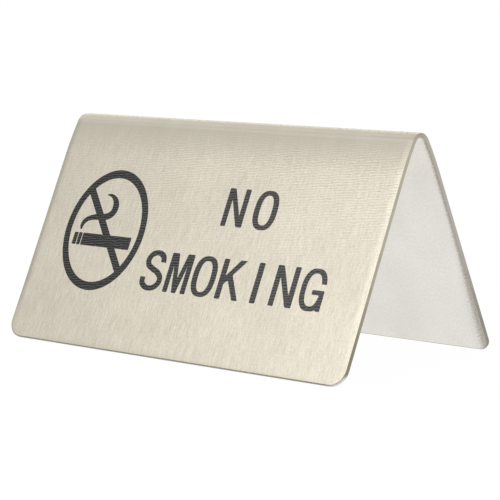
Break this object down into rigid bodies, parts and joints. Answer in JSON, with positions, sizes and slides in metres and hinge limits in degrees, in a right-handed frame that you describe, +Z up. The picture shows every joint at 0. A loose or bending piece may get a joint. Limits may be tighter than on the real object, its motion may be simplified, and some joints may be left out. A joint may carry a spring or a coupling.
{
  "type": "no smoking sign",
  "caption": "Free-standing table sign folded from one brushed steel sheet: a rounded fold and two splayed leaves with rounded foot corners, with a flat outer face for the print.",
  "frame": {"origin": "on the surface the sign stands on, midway between the two feet and midway along the fold", "axes": "+X along the fold, to the right as the printed leaf is read, +Y from the printed leaf to the back leaf, +Z up"},
  "size_m": [0.1, 0.055, 0.0509],
  "materials": {
    "brushed_sheet": "brushed satin steel with a warm champagne tone outside, plain grey inside",
    "print_ink": "thin opaque screen print, near black, slightly satin"
  },
  "bodies": {
    "root": {"sign_plate": "brushed_sheet"}
  },
  "joints": []
}
